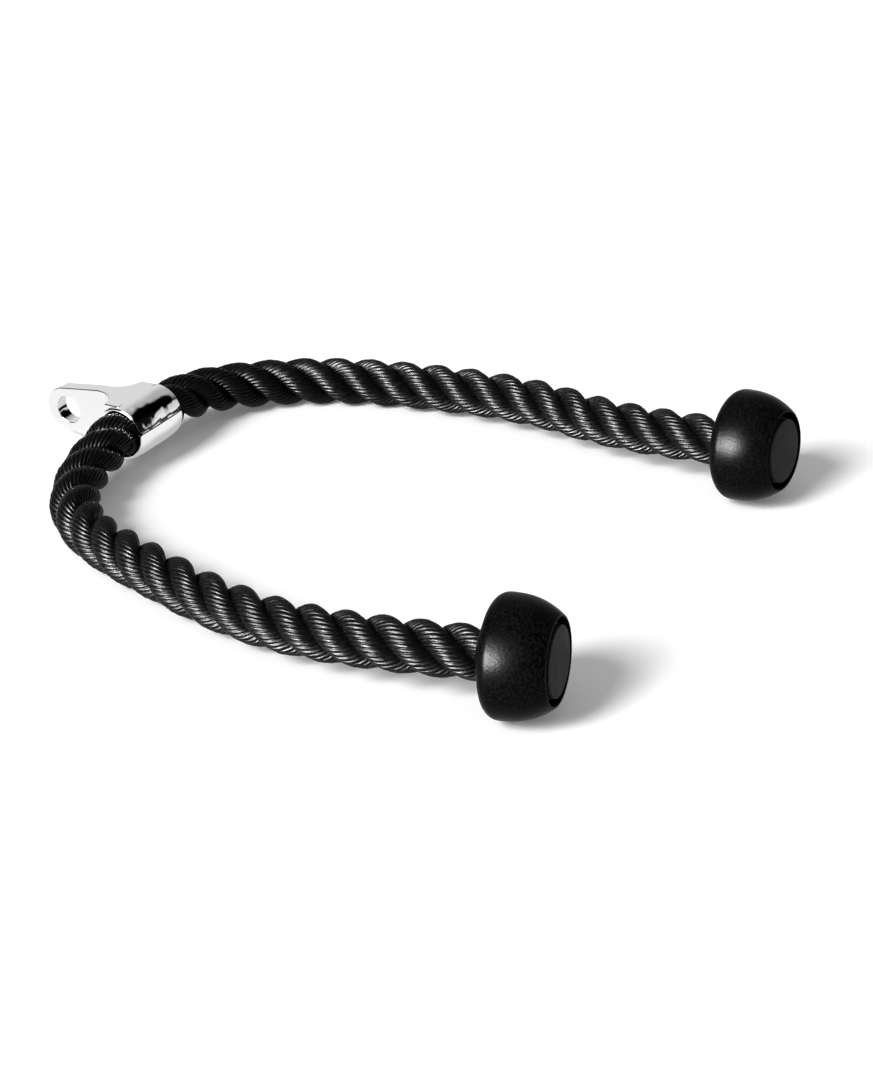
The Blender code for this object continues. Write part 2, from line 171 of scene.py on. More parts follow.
# How many strands have crossed the rope's upper edge at some lengths along each arm
CROSSINGS = {
    "left": (
        (0, -2.0),
        (0.050, 0.25),
        (0.138, 4.25),
        (0.180, 6.20),
        (0.225, 8.22),
        (0.273, 10.25),
        (0.450, 18.05),
    ),
    "right": (
        (0, -2.0),
        (0.042, -0.07),
        (0.132, 4.05),
        (0.204, 7.15),
        (0.255, 9.15),
        (0.303, 11.15),
        (0.450, 17.99),
    ),
}
ROPE_STEP = 0.001
# How far the strands stop short of the rope's two ends
ROPE_MARGIN = 0.005
LAY = 0.0680
STRANDS = 3
STRAND_OFFSET = 0.0076
STRAND_RADIUS = 0.0071
YARNS = 13
YARN_POINTS = 8
YARN_HEIGHT = 0.00085
# How fast the yarns turn round their strand, in radians a metre
YARN_TURN = 270.0
YARN_WOBBLE = 0.00010
YARN_WAVES = (0.017, 0.0061)
RING_POINTS = YARNS * YARN_POINTS
# How thick the rope is where it is gripped, and how much it gains along the stretch beside that
GRIPPED_SHARE = 0.963
SWELL_SHARE = 0.040
SWELL_RUN = 0.008
# How many yarns the texture moves on from one strand to the next
STRAND_SHIFT = 40.0

# Facets

FINE_STEPS = 144
STOPPER_STEPS = 160
PLUG_STEPS = 128
FAN_STEPS = 32
CROWN_STEPS = 12
FILLET_STEPS = 8
EYE_EDGE_STEPS = 6
RIM_STEPS = 6
GROOVE_STEPS = 4
PLUG_EDGE_STEPS = 5
OUTLINE_STEPS = 40
# The source's own coarser outline, which sets how high a stopper stands
SOURCE_OUTLINE_STEPS = 5
TONGUE_EDGE_STEPS = 4
BROKEN_EDGE_STEPS = 2
TONGUE_EDGE_ANGLE = math.radians(50)
BROKEN_EDGE_ANGLE = math.radians(60)
SHARP_ANGLE = math.radians(35)
RUBBER_SHARP_ANGLE = math.radians(30)

# Looks: colours and gloss as levels from 0 to 1, chosen against the photograph

YARN = {"dark": 0.0005, "light": 0.0035, "smooth": 0.25, "rough": 0.42, "gloss": 0.058}
RUBBER = {"dark": 0.0004, "light": 0.0085, "smooth": 0.26, "rough": 0.35, "gloss": 0.018}
PLUG = {"dark": 0.015, "light": 0.025, "smooth": 0.51, "rough": 0.60, "gloss": 0.04}
CHROME = {"colour": (0.87, 0.87, 0.88, 1.0), "smooth": 0.03, "rough": 0.08}
STEEL = {"colour": (0.55, 0.56, 0.58, 1.0), "smooth": 0.25, "rough": 0.42}

# Studio: a white floor, two soft lamps, one for highlights alone, and what shows in the chrome.
# Directions and widths are in degrees: turn is counted from +X, and rise from the floor.

FLOOR_REACH = 8
FLOOR_WHITE = 0.88
FLOOR_GLOW = 0.10
MIRROR_FLOOR = 0.52
MIRROR_GLOW = 0.48
FILL = 0.30
KEY = {"turn": -109, "rise": 42, "strength": 2.4, "width": 18}
LOW_KEY = {"turn": -110, "rise": 29, "strength": 1.6, "width": 20}
KEY_CORE = {"turn": -106, "rise": 18, "strength": 88.0, "width": 28}
SWEEP = {"turn": 120, "rise": 25, "inner": 24, "outer": 50, "around": 0.008, "middle": 0.78}
PANEL = {"turn": 55, "rise": 6, "inner": 13, "outer": 18, "around": 0.0, "middle": 1.1}
OVERHEAD = {"turn": 0, "rise": 90, "inner": 16, "outer": 38, "around": 0.0, "middle": 0.75}
FLAG = {"turn": 62, "rise": 40, "inner": 12, "outer": 22, "around": 1.0, "middle": 0.01}
SOFT_FLAG = {"turn": 66, "rise": 40, "inner": 18, "outer": 52, "around": 1.0, "middle": 0.58}
FRONT_FLAG = {"turn": -150, "rise": 42, "inner": 15, "outer": 23, "around": 1.0, "middle": 0.05}
WHITE = (1.0, 1.0, 1.0, 1.0)

CAMERA_PLACE = (0.6914, -1.0565, 0.6835)
CAMERA_TILT = math.radians(60.75)
CAMERA_TURN = math.radians(30.84)
CAMERA_LENS = 80.18
CAMERA_SENSOR = 36


def arc(centre, radius, start, end, steps):
    """Points of a round stretch in a plane, from the angle start to the angle end."""
    points = []
    for i in range(steps + 1):
        turn = start + (end - start) * i / steps
        points.append((centre[0] + radius * math.cos(turn), centre[1] + radius * math.sin(turn)))
    return points


def merge_close(bm):
    bmesh.ops.remove_doubles(bm, verts=bm.verts[:], dist=WELD)
    bmesh.ops.dissolve_degenerate(bm, edges=bm.edges[:], dist=WELD)


def mesh_of(bm, name, sharp=SHARP_ANGLE):
    bmesh.ops.recalc_face_normals(bm, faces=bm.faces[:])
    mesh = bpy.data.meshes.new(name)
    bm.to_mesh(mesh)
    bm.free()
    mesh.shade_smooth()
    mesh.set_sharp_from_angle(angle=sharp)
    return mesh


def turned(name, profile, steps, sharp=SHARP_ANGLE):
    """A solid turned about its own Z axis from a closed profile of (along, radius) points."""
    bm = bmesh.new()
    verts = [bm.verts.new((radius, 0, along)) for along, radius in profile]
    edges = [bm.edges.new(ends) for ends in zip(verts, verts[1:] + verts[:1])]
    bmesh.ops.spin(
        bm,
        geom=verts + edges,
        cent=(0, 0, 0),
        axis=(0, 0, 1),
        angle=math.tau,
        steps=steps,
        use_merge=True,
    )
    merge_close(bm)
    return mesh_of(bm, name, sharp)


def extruded(name, outline, axis, half):
    """A flat outline pushed out to both sides of its plane, along the axis Y or Z."""
    bm = bmesh.new()
    if axis == "Y":
        ring = [bm.verts.new((u, -half, v)) for u, v in outline]
        step = Vector((0, 2 * half, 0))
    else:
        ring = [bm.verts.new((u, v, -half)) for u, v in outline]
        step = Vector((0, 0, 2 * half))
    grown = bmesh.ops.extrude_face_region(bm, geom=[bm.faces.new(ring)])
    moved = [piece for piece in grown["geom"] if isinstance(piece, bmesh.types.BMVert)]
    bmesh.ops.translate(bm, verts=moved, vec=step)
    return mesh_of(bm, name)


def piece(name, mesh, place, finish=None):
    mesh.transform(place)
    obj = bpy.data.objects.new(name, mesh)
    bpy.context.collection.objects.link(obj)
    if finish:
        mesh.materials.append(finish)
    return obj


def smooth_curve(points, per_span):
    """Points of a centripetal Catmull-Rom curve through the given ones."""
    knots = [points[0] * 2 - points[1], *points, points[-1] * 2 - points[-2]]
    found = []
    for p0, p1, p2, p3 in zip(knots, knots[1:], knots[2:], knots[3:]):
        t0 = 0.0
        t1 = t0 + math.sqrt(np.linalg.norm(p1 - p0))
        t2 = t1 + math.sqrt(np.linalg.norm(p2 - p1))
        t3 = t2 + math.sqrt(np.linalg.norm(p3 - p2))
        for i in range(per_span):
            t = t1 + (t2 - t1) * i / per_span
            a1 = p0 * ((t1 - t) / (t1 - t0)) + p1 * ((t - t0) / (t1 - t0))
            a2 = p1 * ((t2 - t) / (t2 - t1)) + p2 * ((t - t1) / (t2 - t1))
            a3 = p2 * ((t3 - t) / (t3 - t2)) + p3 * ((t - t2) / (t3 - t2))
            b1 = a1 * ((t2 - t) / (t2 - t0)) + a2 * ((t - t0) / (t2 - t0))
            b2 = a2 * ((t3 - t) / (t3 - t1)) + a3 * ((t - t1) / (t3 - t1))
            found.append(b1 * ((t2 - t) / (t2 - t1)) + b2 * ((t - t1) / (t2 - t1)))
    return np.array(found + [points[-1]])


def stopper_outline(steps):
    """Outer profile of the rubber, from the face on the rope's side to the rim round the recess."""
    middle = (STOPPER_CROWN_AT, STOPPER_RADIUS - STOPPER_SHOULDER_RADIUS)
    rise = middle[1] - STOPPER_FACE_RADIUS
    away = math.hypot(STOPPER_CROWN_AT, rise)
    cone = math.atan2(rise, STOPPER_CROWN_AT) + math.asin(STOPPER_SHOULDER_RADIUS / away)
    points = [(0, STOPPER_FACE_RADIUS)]
    points += arc(middle, STOPPER_SHOULDER_RADIUS, cone + SQUARE, SQUARE, steps)

    run = STOPPER_LENGTH - STOPPER_LIP - STOPPER_CROWN_AT
    fall = STOPPER_RADIUS - STOPPER_RIM_RADIUS
    for i in range(1, 2 * steps):
        share = i / (2 * steps)
        points.append((STOPPER_CROWN_AT + run * share, STOPPER_RADIUS - fall * share**TAPER_POWER))

    lean = math.atan2(run, TAPER_POWER * fall)
    lip = STOPPER_LIP / (1 - math.cos(lean))
    middle = (STOPPER_LENGTH - lip, STOPPER_RIM_RADIUS - lip * math.sin(lean))
    return points + arc(middle, lip, lean, 0, RIM_STEPS)


def stopper_place(side):
    """Where the middle of the face on the rope's side is, and the way the stopper points."""
    x, y, turn, tilt = STOPPERS[side]
    way = math.copysign(1, y)
    flat = math.cos(tilt)
    out = Vector((flat * math.cos(turn), -way * flat * math.sin(turn), math.sin(tilt)))
    across = math.sqrt(1 - out.z**2)
    start = Vector((x, y, 0)) - out * STOPPER_CROWN_AT
    outline = stopper_outline(SOURCE_OUTLINE_STEPS)
    start.z = max(radius * across - along * out.z for along, radius in outline)
    return start - Vector(ORIGIN), out


def arm_path(side):
    """Lengths along one arm, from the middle of the barrel to its end, and its centreline's points."""
    way = 1 if side == "left" else -1
    start, out = stopper_place(side)
    start, out = np.array(start) + ORIGIN, np.array(out)
    places = (0, MOUTH / 2, MOUTH, MOUTH + MOUTH_STRAIGHT / 2, MOUTH + MOUTH_STRAIGHT)
    route = [np.array((0, way * y, BARREL_HEIGHT)) for y in places]
    route += [np.array(point) for point in ROUTES[side]]
    route += [start + out * along for along in (-ROPE_RADIUS, 0, ROPE_END_AT)]
    points = smooth_curve([point - ORIGIN for point in route], ROUTE_STEPS)
    spans = np.linalg.norm(np.diff(points, axis=0), axis=1)
    along = np.concatenate([[0], np.cumsum(spans)])
    wanted = np.linspace(0, along[-1], round(along[-1] / ROPE_STEP) + 1)
    line = np.stack([np.interp(wanted, along, points[:, k]) for k in range(3)], axis=1)
    return wanted, line


def node_tree(name):
    made = bpy.data.materials.new(name)
    made.use_nodes = True
    tree = made.node_tree
    return made, tree, tree.nodes["Principled BSDF"]


def add(tree, kind, **inputs):
    node = tree.nodes.new(kind)
    for key, value in inputs.items():
        node.inputs[key.replace("_", " ")].default_value = value
    return node


def graded(tree, source, start, end, low, high):
    """Grey that goes from low to high while its source goes from start to end."""
    node = tree.nodes.new("ShaderNodeValToRGB")
    for element, place, level in zip(node.color_ramp.elements, (start, end), (low, high)):
        element.position = place
        element.color = (level, level, level, 1.0)
    tree.links.new(source, node.inputs["Fac"])
    return node.outputs["Color"]


def bump(tree, shader, height, strength, distance, normal=None):
    node = add(tree, "ShaderNodeBump", Strength=strength, Distance=distance)
    tree.links.new(height, node.inputs["Height"])
    if normal:
        tree.links.new(normal, node.inputs["Normal"])
    tree.links.new(node.outputs["Normal"], shader.inputs["Normal"])
    return node.outputs["Normal"]


def noise(tree, vector, scale, detail, roughness):
    node = add(tree, "ShaderNodeTexNoise", Scale=scale, Detail=detail, Roughness=roughness)
    tree.links.new(vector, node.inputs["Vector"])
    return node.outputs["Fac"]


def stretched_noise(tree, source, stretch, detail, roughness):
    node = add(tree, "ShaderNodeMapping", Scale=stretch)
    tree.links.new(source, node.inputs["Vector"])
    return noise(tree, node.outputs["Vector"], scale=1.0, detail=detail, roughness=roughness)


def rope_material():
    """Glossy black yarn. U counts the yarns, and V runs along the rope in millimetres."""
    made, tree, shader = node_tree("rope_yarn")
    uv = tree.nodes.new("ShaderNodeUVMap").outputs["UV"]
    fibre = stretched_noise(tree, uv, stretch=(7.0, 0.6, 1.0), detail=4.0, roughness=0.6)
    fleck = stretched_noise(tree, uv, stretch=(1.6, 0.5, 1.0), detail=2.0, roughness=0.5)
    colour = graded(tree, fibre, start=0.35, end=0.75, low=YARN["dark"], high=YARN["light"])
    rough = graded(tree, fleck, start=0.35, end=0.7, low=YARN["smooth"], high=YARN["rough"])
    tree.links.new(colour, shader.inputs["Base Color"])
    tree.links.new(rough, shader.inputs["Roughness"])
    twisted = bump(tree, shader, fleck, strength=0.3, distance=0.0004)
    bump(tree, shader, fibre, strength=0.6, distance=0.0002, normal=twisted)
    shader.inputs["Specular IOR Level"].default_value = YARN["gloss"]
    return made


def rubber_material(name, dark, light, smooth, rough, gloss):
    """Black rubber or plastic with a fine grain that shows as specks."""
    made, tree, shader = node_tree(name)
    place = tree.nodes.new("ShaderNodeTexCoord").outputs["Object"]
    grain = noise(tree, place, scale=800.0, detail=3.0, roughness=0.6)
    cloud = noise(tree, place, scale=60.0, detail=3.0, roughness=0.5)
    colour = graded(tree, grain, start=0.42, end=0.70, low=dark, high=light)
    sheen = graded(tree, cloud, start=0.3, end=0.7, low=smooth, high=rough)
    tree.links.new(colour, shader.inputs["Base Color"])
    tree.links.new(sheen, shader.inputs["Roughness"])
    bump(tree, shader, grain, strength=0.5, distance=0.00025)
    shader.inputs["Specular IOR Level"].default_value = gloss
    return made


def chrome_material():
    """Polished chrome with the slow waves of a ground and plated forging."""
    made, tree, shader = node_tree("polished_chrome")
    place = tree.nodes.new("ShaderNodeTexCoord").outputs["Object"]
    wave = noise(tree, place, scale=90.0, detail=1.5, roughness=0.4)
    fine = noise(tree, place, scale=600.0, detail=2.0, roughness=0.5)
    sheen = graded(tree, fine, start=0.3, end=0.75, low=CHROME["smooth"], high=CHROME["rough"])
    tree.links.new(sheen, shader.inputs["Roughness"])
    bump(tree, shader, wave, strength=0.45, distance=0.002)
    shader.inputs["Base Color"].default_value = CHROME["colour"]
    shader.inputs["Metallic"].default_value = 1.0
    return made


def steel_material():
    made, tree, shader = node_tree("zinc_steel")
    place = tree.nodes.new("ShaderNodeTexCoord").outputs["Object"]
    grain = noise(tree, place, scale=400.0, detail=3.0, roughness=0.5)
    sheen = graded(tree, grain, start=0.3, end=0.7, low=STEEL["smooth"], high=STEEL["rough"])
    tree.links.new(sheen, shader.inputs["Roughness"])
    shader.inputs["Base Color"].default_value = STEEL["colour"]
    shader.inputs["Metallic"].default_value = 1.0
    return made


def across_line(line):
    """Unit vectors aside of and above a centreline, at each of its points."""
    ahead = np.gradient(line, axis=0)
    ahead /= np.linalg.norm(ahead, axis=1)[:, None]
    aside = np.cross(ahead, (0, 0, 1))
    aside /= np.linalg.norm(aside, axis=1)[:, None]
    return aside, np.cross(aside, ahead)


def yarn_radius(steps, swell, chance):
    """How far each point of a strand's rings is from the strand's middle: yarns with round backs."""
    within = (np.arange(RING_POINTS) % YARN_POINTS) / YARN_POINTS
    ridge = np.sqrt(1 - (2 * within - 1) ** 2)
    radius = swell * (STRAND_RADIUS - YARN_HEIGHT * (1 - ridge[None, :]))
    starts = np.repeat(chance.uniform(0, math.tau, (len(YARN_WAVES), YARNS)), YARN_POINTS, axis=1)
    for wave, start in zip(YARN_WAVES, starts):
        wobble = np.sin(math.tau * steps[:, None] / wave + start[None, :])
        radius += YARN_WOBBLE * wobble * ridge[None, :]
    return radius


def strand_points(side, strand, steps, swell, chance):
    """Points of one strand's twisted yarns, in rings along the arm."""
    along, line = arm_path(side)
    aside, above = across_line(line)
    radius = yarn_radius(steps, swell, chance)
    around = np.arange(RING_POINTS) / RING_POINTS * 2 * math.pi
    roll = around[None, :] - YARN_TURN * steps[:, None]
    crossed = np.interp(steps, *zip(*CROSSINGS[side]))
    turn = (math.tau / STRANDS * (crossed + strand))[:, None]

    # A strand crosses the rope at a slope, so its rings lean along the rope.
    slope = math.atan(2 * math.pi * STRAND_OFFSET / LAY)
    offset = swell * STRAND_OFFSET + radius * np.cos(roll)
    tangent = radius * np.sin(roll)
    place = steps[:, None] - tangent * math.sin(slope)
    tangent = tangent * math.cos(slope)
    up = offset * np.cos(turn) - tangent * np.sin(turn)
    out = offset * np.sin(turn) + tangent * np.cos(turn)
    found = []
    for k in range(3):
        middle = np.interp(place, along, line[:, k])
        upward = up * np.interp(place, along, above[:, k])
        outward = out * np.interp(place, along, aside[:, k])
        found.append(middle + upward + outward)
    found[2] = np.maximum(found[2], 0)
    return np.stack(found, axis=-1).reshape(-1, 3)


def strand_faces(strand, steps):
    """Quads between one strand's rings, their corners in the yarns' texture, and its two ends."""
    first = strand * len(steps) * RING_POINTS
    last = first + (len(steps) - 1) * RING_POINTS
    i, j = np.meshgrid(np.arange(len(steps) - 1), np.arange(RING_POINTS), indexing="ij")
    k = (j + 1) % RING_POINTS
    here = first + i * RING_POINTS
    beyond = here + RING_POINTS
    quads = np.stack([here + j, here + k, beyond + k, beyond + j], axis=-1)
    u0 = j / YARN_POINTS + strand * STRAND_SHIFT
    u1 = (j + 1) / YARN_POINTS + strand * STRAND_SHIFT
    v0 = steps[i] * MM_PER_M
    v1 = steps[i + 1] * MM_PER_M
    corners = np.stack([u0, v0, u1, v0, u1, v1, u0, v1], axis=-1)
    ring = range(RING_POINTS)
    ends = [[first + j for j in reversed(ring)], [last + j for j in ring]]
    return quads.reshape(-1, 4), corners.reshape(-1, 2), ends


def rope_piece(side, length, finish):
    """Three strands of twisted yarn laid round one arm's centreline."""
    steps = np.arange(ROPE_MARGIN, length - ROPE_MARGIN, ROPE_STEP)
    # The rope is a little tighter where the clamp and the stopper grip it.
    grip = np.minimum(steps - MOUTH, length - ROPE_END_AT - steps)
    swell = (GRIPPED_SHARE + SWELL_SHARE * np.clip(grip / SWELL_RUN, 0, 1))[:, None]
    chance = np.random.default_rng(len(side))
    points, quads, corners, ends = [], [], [], []
    for strand in range(STRANDS):
        points.append(strand_points(side, strand, steps, swell, chance))
        strand_quads, strand_corners, strand_ends = strand_faces(strand, steps)
        quads += strand_quads.tolist()
        corners.append(strand_corners)
        ends += strand_ends

    mesh = bpy.data.meshes.new(f"{side}_laid_rope")
    mesh.from_pydata(np.concatenate(points).tolist(), [], quads + ends)
    corners.append(np.zeros((RING_POINTS * len(ends), 2)))
    layer = mesh.uv_layers.new(name="yarn")
    layer.data.foreach_set("uv", np.concatenate(corners).astype(np.float32).ravel())
    mesh.shade_smooth()
    rope = piece(f"{side}_laid_rope", mesh, Matrix(), finish)
    bm = bmesh.new()
    bm.from_mesh(mesh)
    bmesh.ops.recalc_face_normals(bm, faces=bm.faces[:])
    bm.to_mesh(mesh)
    bm.free()
    return rope


def opened(half, radius, edge, steps):
    """Half the outline of a hole or slot through a wall of 2 * half, opened by an arc at both faces."""
    wide = radius + edge
    left = arc((edge - half, wide), edge, 2 * SQUARE, 3 * SQUARE, steps)
    right = arc((half - edge, wide), edge, 3 * SQUARE, 4 * SQUARE, steps)
    return [(-half - OVERRUN, wide), *left, *right, (half + OVERRUN, wide)]


def hole_cutter_mesh(name, half, radius, edge, steps):
    """Cutter of a round hole through a wall of 2 * half, opened by an arc at both faces."""
    past = half + OVERRUN
    profile = [(-past, 0), *opened(half, radius, edge, steps), (past, 0)]
    return turned(name, profile, FINE_STEPS)


def tongue_side_mesh():
    """The tongue seen from the side: round about the eye, then two edges that part to the barrel."""
    start = SQUARE + TONGUE_FLARE
    outline = arc((-EYE_REACH, 0), EYE_RADIUS, start, math.tau - start, FINE_STEPS // 2)
    root = BARREL_RADIUS - TONGUE_INSET
    run = (root - EYE_RADIUS / math.cos(TONGUE_FLARE)) / math.tan(TONGUE_FLARE)
    outline += [(run - EYE_REACH, -root), (0, -root), (0, root), (run - EYE_REACH, root)]
    return extruded("chrome_clamp", outline, "Y", MOUTH)


def tongue_plan_mesh():
    """The tongue seen from above: a flat plate that fans out by two round flanks to the barrel."""
    half_plate = TONGUE_THICKNESS / 2
    turn = math.acos(1 - (MOUTH - FAN_RIM - half_plate) / FAN_RADIUS)
    middle = (-FAN_AT, half_plate + FAN_RADIUS)
    left = [(-EYE_REACH - EYE_RADIUS - OVERRUN, half_plate)]
    left += arc(middle, FAN_RADIUS, 3 * SQUARE, 3 * SQUARE + turn, FAN_STEPS)
    left += [(0, left[-1][1])]
    right = [(x, -y) for x, y in reversed(left)]
    return extruded("plan", left + right, "Z", BARREL_RADIUS + OVERRUN)


def barrel_mesh():
    """The barrel, solid, whose ends curve in slightly and are rounded at the rims."""
    inset = MOUTH - BARREL_EDGE
    corner = BARREL_RADIUS - BARREL_CROWN - BARREL_EDGE
    lean = math.atan(2 * BARREL_CROWN / BARREL_CROWN_RUN)
    right = arc((inset, corner), BARREL_EDGE, 0, SQUARE - lean, FILLET_STEPS)
    for share in np.linspace(1, 0, CROWN_STEPS)[1:]:
        right.append((inset - BARREL_CROWN_RUN * (1 - share), BARREL_RADIUS - BARREL_CROWN * share**2))
    left = [(-along, radius) for along, radius in right]
    return turned("barrel", [(-MOUTH, 0), *left, *reversed(right), (MOUTH, 0)], FINE_STEPS)


def seam_cutter_mesh():
    """Cutter of the slit where the two jaws meet."""
    upper = opened(MOUTH, SEAM_WIDTH / 2, SEAM_CORNER, FILLET_STEPS)
    lower = [(y, -z) for y, z in reversed(upper)]
    return extruded("seam", upper + lower, "Z", BARREL_WALL + OVERRUN)


def boolean(obj, name, mesh, place, operation):
    cutter = piece(name, mesh, place)
    step = obj.modifiers.new(name, "BOOLEAN")
    step.object = cutter
    step.operation = operation
    return cutter


def bevel(obj, name, width, segments, angle):
    step = obj.modifiers.new(name, "BEVEL")
    step.width = width
    step.segments = segments
    step.limit_method = "ANGLE"
    step.angle_limit = angle


def clamp_piece(finish):
    """The tongue, joined with the barrel, then cut by the bore, the eye and the seam."""
    centre = Matrix.Translation(Vector((0, 0, BARREL_HEIGHT)) - Vector(ORIGIN))
    place = centre @ Matrix.Rotation(-TONGUE_DROOP, 4, "Y")
    along_y = Matrix.Rotation(-SQUARE, 4, "X")
    barrel_place = place @ along_y
    eye_place = place @ Matrix.Translation((EYE_HOLE_SETBACK - EYE_REACH, 0, 0)) @ along_y
    # The seam's outline lies in the plane of Y and Z, and is pushed through the wall along X.
    seam_turn = Matrix.Rotation(-SEAM_RISE, 4, "Y") @ Matrix.Translation((BARREL_RADIUS, 0, 0))
    seam_place = place @ seam_turn @ Matrix.Rotation(SQUARE, 4, "Y") @ Matrix.Rotation(SQUARE, 4, "Z")
    bore = hole_cutter_mesh("bore", MOUTH, BORE_RADIUS, BARREL_EDGE, FILLET_STEPS)
    eye = hole_cutter_mesh("eye", TONGUE_THICKNESS / 2, EYE_HOLE_RADIUS, EYE_HOLE_EDGE, EYE_EDGE_STEPS)

    clamp = piece("chrome_clamp", tongue_side_mesh(), place, finish)
    used = [boolean(clamp, "plan", tongue_plan_mesh(), place, "INTERSECT")]
    bevel(clamp, "edge", TONGUE_EDGE, TONGUE_EDGE_STEPS, TONGUE_EDGE_ANGLE)
    used.append(boolean(clamp, "barrel", barrel_mesh(), barrel_place, "UNION"))
    used.append(boolean(clamp, "bore", bore, barrel_place, "DIFFERENCE"))
    used.append(boolean(clamp, "eye", eye, eye_place, "DIFFERENCE"))
    used.append(boolean(clamp, "seam", seam_cutter_mesh(), seam_place, "DIFFERENCE"))
    bevel(clamp, "round_off", BROKEN_EDGE, BROKEN_EDGE_STEPS, BROKEN_EDGE_ANGLE)

    bpy.context.view_layer.update()
    graph = bpy.context.evaluated_depsgraph_get()
    mesh = bpy.data.meshes.new_from_object(clamp.evaluated_get(graph))
    clamp.modifiers.clear()
    for cutter in used:
        bpy.data.objects.remove(cutter)
    clamp.data = mesh
    bm = bmesh.new()
    bm.from_mesh(mesh)
    merge_close(bm)
    bm.to_mesh(mesh)
    bm.free()
    mesh.shade_smooth()
    mesh.set_sharp_from_angle(angle=SHARP_ANGLE)
    even = clamp.modifiers.new("even", "WEIGHTED_NORMAL")
    even.keep_sharp = True
    even.weight = 100
    return clamp


def stopper_mesh():
    """The moulded rubber, with its mould line, the groove round the plug, and the pocket."""
    profile = [(0, BORE_RADIUS)]
    for along, radius in stopper_outline(OUTLINE_STEPS):
        share = math.exp(-(((along - MOULD_LINE_AT) / MOULD_LINE_WIDTH) ** 2))
        profile.append((along, radius - MOULD_LINE_DEPTH * share))
    rim = STOPPER_RIM_RADIUS - RIM_WIDTH
    profile += arc((STOPPER_LENGTH - RIM_EDGE, rim), RIM_EDGE, 0, -SQUARE, RIM_STEPS)
    floor = GROOVE_FLOOR_AT + RIM_EDGE
    profile += [(floor, rim - 2 * RIM_EDGE)]
    profile += arc((floor, rim - 3 * RIM_EDGE), RIM_EDGE, SQUARE, 2 * SQUARE, GROOVE_STEPS)
    profile += [
        (GROOVE_FLOOR_AT, COLLAR_RADIUS),
        (RECESS_FLOOR_AT, COLLAR_RADIUS),
        (RECESS_FLOOR_AT, POCKET_RADIUS),
        (POCKET_AT, POCKET_RADIUS),
        (POCKET_AT, BORE_RADIUS),
    ]
    return turned("stopper", profile, STOPPER_STEPS, RUBBER_SHARP_ANGLE)


def plug_mesh():
    seat = RECESS_FLOOR_AT + GAP
    top = seat + PLUG_HEAD
    stem = POCKET_RADIUS - GAP
    profile = [(STEM_AT, 0), (STEM_AT, stem), (seat, stem), (seat, PLUG_RADIUS)]
    corner = (top - PLUG_EDGE, PLUG_RADIUS - PLUG_EDGE)
    profile += arc(corner, PLUG_EDGE, SQUARE, 0, PLUG_EDGE_STEPS)
    profile += [(top, 0)]
    return turned("plug", profile, PLUG_STEPS, RUBBER_SHARP_ANGLE)


def white_shader(tree, level):
    shader = add(tree, "ShaderNodeBsdfDiffuse", Color=(level, level, level, 1.0))
    return shader.outputs["BSDF"]


def first_bounces(tree):
    """One for what the camera sees directly or in mirrors, zero for light that a dull face passes on."""
    path = tree.nodes.new("ShaderNodeLightPath")
    node = tree.nodes.new("ShaderNodeMath")
    node.operation = "LESS_THAN"
    node.inputs[1].default_value = 0.5
    tree.links.new(path.outputs["Diffuse Depth"], node.inputs[0])
    return node.outputs["Value"]


def lit(tree, shader, strength):
    """A shader with some white light of its own added, which lights nothing else."""
    glow = add(tree, "ShaderNodeEmission", Color=(strength, strength, strength, 1.0))
    tree.links.new(first_bounces(tree), glow.inputs["Strength"])
    both = tree.nodes.new("ShaderNodeAddShader")
    tree.links.new(shader, both.inputs[0])
    tree.links.new(glow.outputs["Emission"], both.inputs[1])
    return both.outputs["Shader"]


def by_ray(tree, kind, otherwise, chosen):
    """One shader for rays of a kind, such as Is Camera Ray, and another otherwise."""
    path = tree.nodes.new("ShaderNodeLightPath")
    pick = tree.nodes.new("ShaderNodeMixShader")
    tree.links.new(path.outputs[kind], pick.inputs["Fac"])
    tree.links.new(otherwise, pick.inputs[1])
    tree.links.new(chosen, pick.inputs[2])
    return pick.outputs["Shader"]


def build_floor():
    mesh = bpy.data.meshes.new("floor")
    corners = [(x * FLOOR_REACH, y * FLOOR_REACH, 0) for x, y in ((-1, -1), (1, -1), (1, 1), (-1, 1))]
    mesh.from_pydata(corners, [], [(0, 1, 2, 3)])
    floor = bpy.data.objects.new("floor", mesh)
    bpy.context.collection.objects.link(floor)
    made = bpy.data.materials.new("floor_white")
    made.use_nodes = True
    tree = made.node_tree
    tree.nodes.clear()
    seen = lit(tree, white_shader(tree, 1.0), FLOOR_GLOW)
    mirrored = lit(tree, white_shader(tree, MIRROR_FLOOR), MIRROR_GLOW)
    shader = by_ray(tree, "Is Camera Ray", white_shader(tree, FLOOR_WHITE), seen)
    shader = by_ray(tree, "Is Glossy Ray", shader, mirrored)
    out = tree.nodes.new("ShaderNodeOutputMaterial")
    tree.links.new(shader, out.inputs["Surface"])
    mesh.materials.append(made)


def heading(turn, rise):
    turn, rise = math.radians(turn), math.radians(rise)
    flat = math.cos(rise)
    return Vector((flat * math.cos(turn), flat * math.sin(turn), math.sin(rise)))


def patch(tree, turn, rise, inner, outer, around, middle):
    """A round patch of the world: middle within inner degrees of its centre, around past outer."""
    place = tree.nodes.new("ShaderNodeTexCoord").outputs["Generated"]
    near = tree.nodes.new("ShaderNodeVectorMath")
    near.operation = "DOT_PRODUCT"
    near.inputs[1].default_value = heading(turn, rise)
    tree.links.new(place, near.inputs[0])
    grade = add(
        tree,
        "ShaderNodeMapRange",
        From_Min=math.cos(math.radians(outer)),
        From_Max=math.cos(math.radians(inner)),
        To_Min=around,
        To_Max=middle,
    )
    grade.interpolation_type = "SMOOTHSTEP"
    tree.links.new(near.outputs["Value"], grade.inputs["Value"])
    return grade.outputs["Result"]


